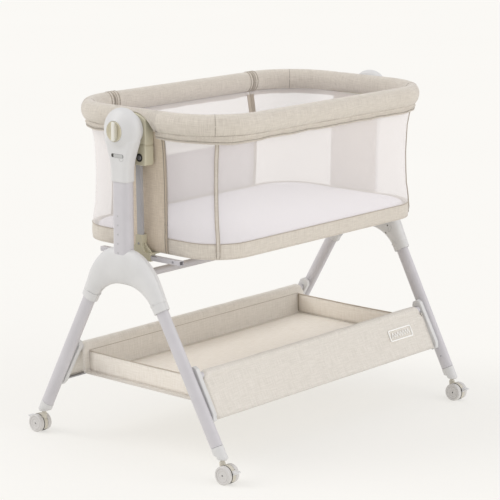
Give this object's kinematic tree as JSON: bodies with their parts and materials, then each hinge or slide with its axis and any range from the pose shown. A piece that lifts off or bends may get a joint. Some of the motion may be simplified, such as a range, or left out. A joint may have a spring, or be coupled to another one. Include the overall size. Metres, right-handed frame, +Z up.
{
  "type": "bassinet on stand",
  "caption": "Bedside bassinet with a padded rail, net walls and a drop-down side, on a height-adjustable wheeled A-frame stand with a storage basket.",
  "frame": {"origin": "on the floor, midway between the four casters and under the middle of the tub", "axes": "+X along the bassinet, -Y towards the fixed front, +Y towards the drop-down side, +Z up"},
  "size_m": [0.917, 0.632, 0.769],
  "materials": {
    "white_paint": "satin powder coat",
    "white_plastic": "satin moulded",
    "wheel_plastic": "satin moulded",
    "knob_plastic": "satin moulded",
    "grey_plastic": "satin moulded",
    "beige_plastic": "satin moulded",
    "plain_steel": "zinc plated",
    "linen_fabric": "woven linen look",
    "net_fabric": "fine see-through net",
    "mattress_fabric": "smooth cotton jersey"
  },
  "bodies": {
    "stand": {"cross_bar": "white_paint", "storage_basket": "linen_fabric", "basket_rail_front": "white_paint", "basket_rail_rear": "white_paint", "flap_rod_front": "plain_steel", "flap_rod_rear": "plain_steel", "arch_outer_left": "white_plastic", "arch_inner_left": "white_plastic", "inner_post_left": "plain_steel", "leg_front_left": "white_paint", "foot_plug_front_left": "white_plastic", "basket_bracket_front_left": "white_plastic", "leg_rear_left": "white_paint", "foot_plug_rear_left": "white_plastic", "basket_bracket_rear_left": "white_plastic", "arch_outer_right": "white_plastic", "arch_inner_right": "white_plastic", "inner_post_right": "plain_steel", "leg_front_right": "white_paint", "foot_plug_front_right": "white_plastic", "basket_bracket_front_right": "white_plastic", "leg_rear_right": "white_paint", "foot_plug_rear_right": "white_plastic", "basket_bracket_rear_right": "white_plastic"},
    "head_left": {"outer_post_left": "white_paint", "head_casing_left": "white_plastic"},
    "knob_left": {"swing_lock_knob_left": "knob_plastic"},
    "release_left": {"height_release_left": "grey_plastic"},
    "caster_front_left": {"caster_housing_front_left": "white_plastic"},
    "wheels_front_left": {"caster_wheels_front_left": "wheel_plastic"},
    "pedal_front_left": {"brake_pedal_front_left": "white_plastic"},
    "caster_rear_left": {"caster_housing_rear_left": "white_plastic"},
    "wheels_rear_left": {"caster_wheels_rear_left": "wheel_plastic"},
    "pedal_rear_left": {"brake_pedal_rear_left": "white_plastic"},
    "head_right": {"outer_post_right": "white_paint", "head_casing_right": "white_plastic"},
    "knob_right": {"swing_lock_knob_right": "knob_plastic"},
    "release_right": {"height_release_right": "grey_plastic"},
    "caster_front_right": {"caster_housing_front_right": "white_plastic"},
    "wheels_front_right": {"caster_wheels_front_right": "wheel_plastic"},
    "pedal_front_right": {"brake_pedal_front_right": "white_plastic"},
    "caster_rear_right": {"caster_housing_rear_right": "white_plastic"},
    "wheels_rear_right": {"caster_wheels_rear_right": "wheel_plastic"},
    "pedal_rear_right": {"brake_pedal_rear_right": "white_plastic"},
    "bassinet": {"rail_tube": "plain_steel", "rail_cover": "linen_fabric", "base_tray": "linen_fabric", "net_wall": "net_fabric", "tub_bracket_left": "beige_plastic", "strut_left": "plain_steel", "tee_fitting_left": "beige_plastic", "base_tube_left": "white_paint", "tub_bracket_right": "beige_plastic", "strut_right": "plain_steel", "tee_fitting_right": "beige_plastic", "base_tube_right": "white_paint"},
    "drop_side": {"drop_rail_tube": "plain_steel", "drop_rail_cover": "linen_fabric", "drop_net": "net_fabric"},
    "mattress": {"mattress": "mattress_fabric"}
  },
  "joints": [
    {"name": "height_left", "type": "slide", "parent": "stand", "child": "head_left", "axis": [0, 0, 1], "range_m": [0, 0.08]},
    {"name": "swing_lock_left", "type": "hinge", "parent": "head_left", "child": "knob_left", "pos_m": [-0.4495, 0, 0.721], "axis": [1, 0, 0], "range_deg": [0, 90]},
    {"name": "release_left", "type": "slide", "parent": "head_left", "child": "release_left", "axis": [0, 1, 0], "range_m": [0, 0.006], "stiffness_N_per_m": 250},
    {"name": "swivel_front_left", "type": "hinge", "parent": "stand", "child": "caster_front_left", "pos_m": [-0.415, -0.27, 0.045], "axis": [0, 0, 1], "continuous": true},
    {"name": "roll_front_left", "type": "hinge", "parent": "caster_front_left", "child": "wheels_front_left", "pos_m": [-0.415, -0.283, 0.0205], "axis": [1, 0, 0], "continuous": true},
    {"name": "brake_front_left", "type": "hinge", "parent": "caster_front_left", "child": "pedal_front_left", "pos_m": [-0.415, -0.283, 0.0205], "axis": [1, 0, 0], "range_deg": [0, 14]},
    {"name": "swivel_rear_left", "type": "hinge", "parent": "stand", "child": "caster_rear_left", "pos_m": [-0.415, 0.27, 0.045], "axis": [0, 0, 1], "continuous": true},
    {"name": "roll_rear_left", "type": "hinge", "parent": "caster_rear_left", "child": "wheels_rear_left", "pos_m": [-0.415, 0.283, 0.0205], "axis": [1, 0, 0], "continuous": true},
    {"name": "brake_rear_left", "type": "hinge", "parent": "caster_rear_left", "child": "pedal_rear_left", "pos_m": [-0.415, 0.283, 0.0205], "axis": [-1, 0, 0], "range_deg": [0, 14]},
    {"name": "height_right", "type": "slide", "parent": "stand", "child": "head_right", "axis": [0, 0, 1], "range_m": [0, 0.08]},
    {"name": "swing_lock_right", "type": "hinge", "parent": "head_right", "child": "knob_right", "pos_m": [0.4495, 0, 0.721], "axis": [1, 0, 0], "range_deg": [0, 90]},
    {"name": "release_right", "type": "slide", "parent": "head_right", "child": "release_right", "axis": [0, 1, 0], "range_m": [0, 0.006], "stiffness_N_per_m": 250},
    {"name": "swivel_front_right", "type": "hinge", "parent": "stand", "child": "caster_front_right", "pos_m": [0.415, -0.27, 0.045], "axis": [0, 0, 1], "continuous": true},
    {"name": "roll_front_right", "type": "hinge", "parent": "caster_front_right", "child": "wheels_front_right", "pos_m": [0.415, -0.283, 0.0205], "axis": [1, 0, 0], "continuous": true},
    {"name": "brake_front_right", "type": "hinge", "parent": "caster_front_right", "child": "pedal_front_right", "pos_m": [0.415, -0.283, 0.0205], "axis": [1, 0, 0], "range_deg": [0, 14]},
    {"name": "swivel_rear_right", "type": "hinge", "parent": "stand", "child": "caster_rear_right", "pos_m": [0.415, 0.27, 0.045], "axis": [0, 0, 1], "continuous": true},
    {"name": "roll_rear_right", "type": "hinge", "parent": "caster_rear_right", "child": "wheels_rear_right", "pos_m": [0.415, 0.283, 0.0205], "axis": [1, 0, 0], "continuous": true},
    {"name": "brake_rear_right", "type": "hinge", "parent": "caster_rear_right", "child": "pedal_rear_right", "pos_m": [0.415, 0.283, 0.0205], "axis": [-1, 0, 0], "range_deg": [0, 14]},
    {"name": "bassinet_swing", "type": "hinge", "parent": "head_left", "child": "bassinet", "pos_m": [-0.408, 0, 0.721], "axis": [1, 0, 0], "range_deg": [-10, 10]},
    {"name": "drop_side_hinge", "type": "hinge", "parent": "bassinet", "child": "drop_side", "pos_m": [0, 0.2145, 0.4868], "axis": [-1, 0, 0], "range_deg": [0, 165]},
    {"name": "mattress_lift", "type": "slide", "parent": "bassinet", "child": "mattress", "axis": [0, 0, 1], "range_m": [0, 0.45]}
  ],
  "couplings": [
    {"joint": "height_right", "follows": "height_left", "ratio": 1}
  ]
}
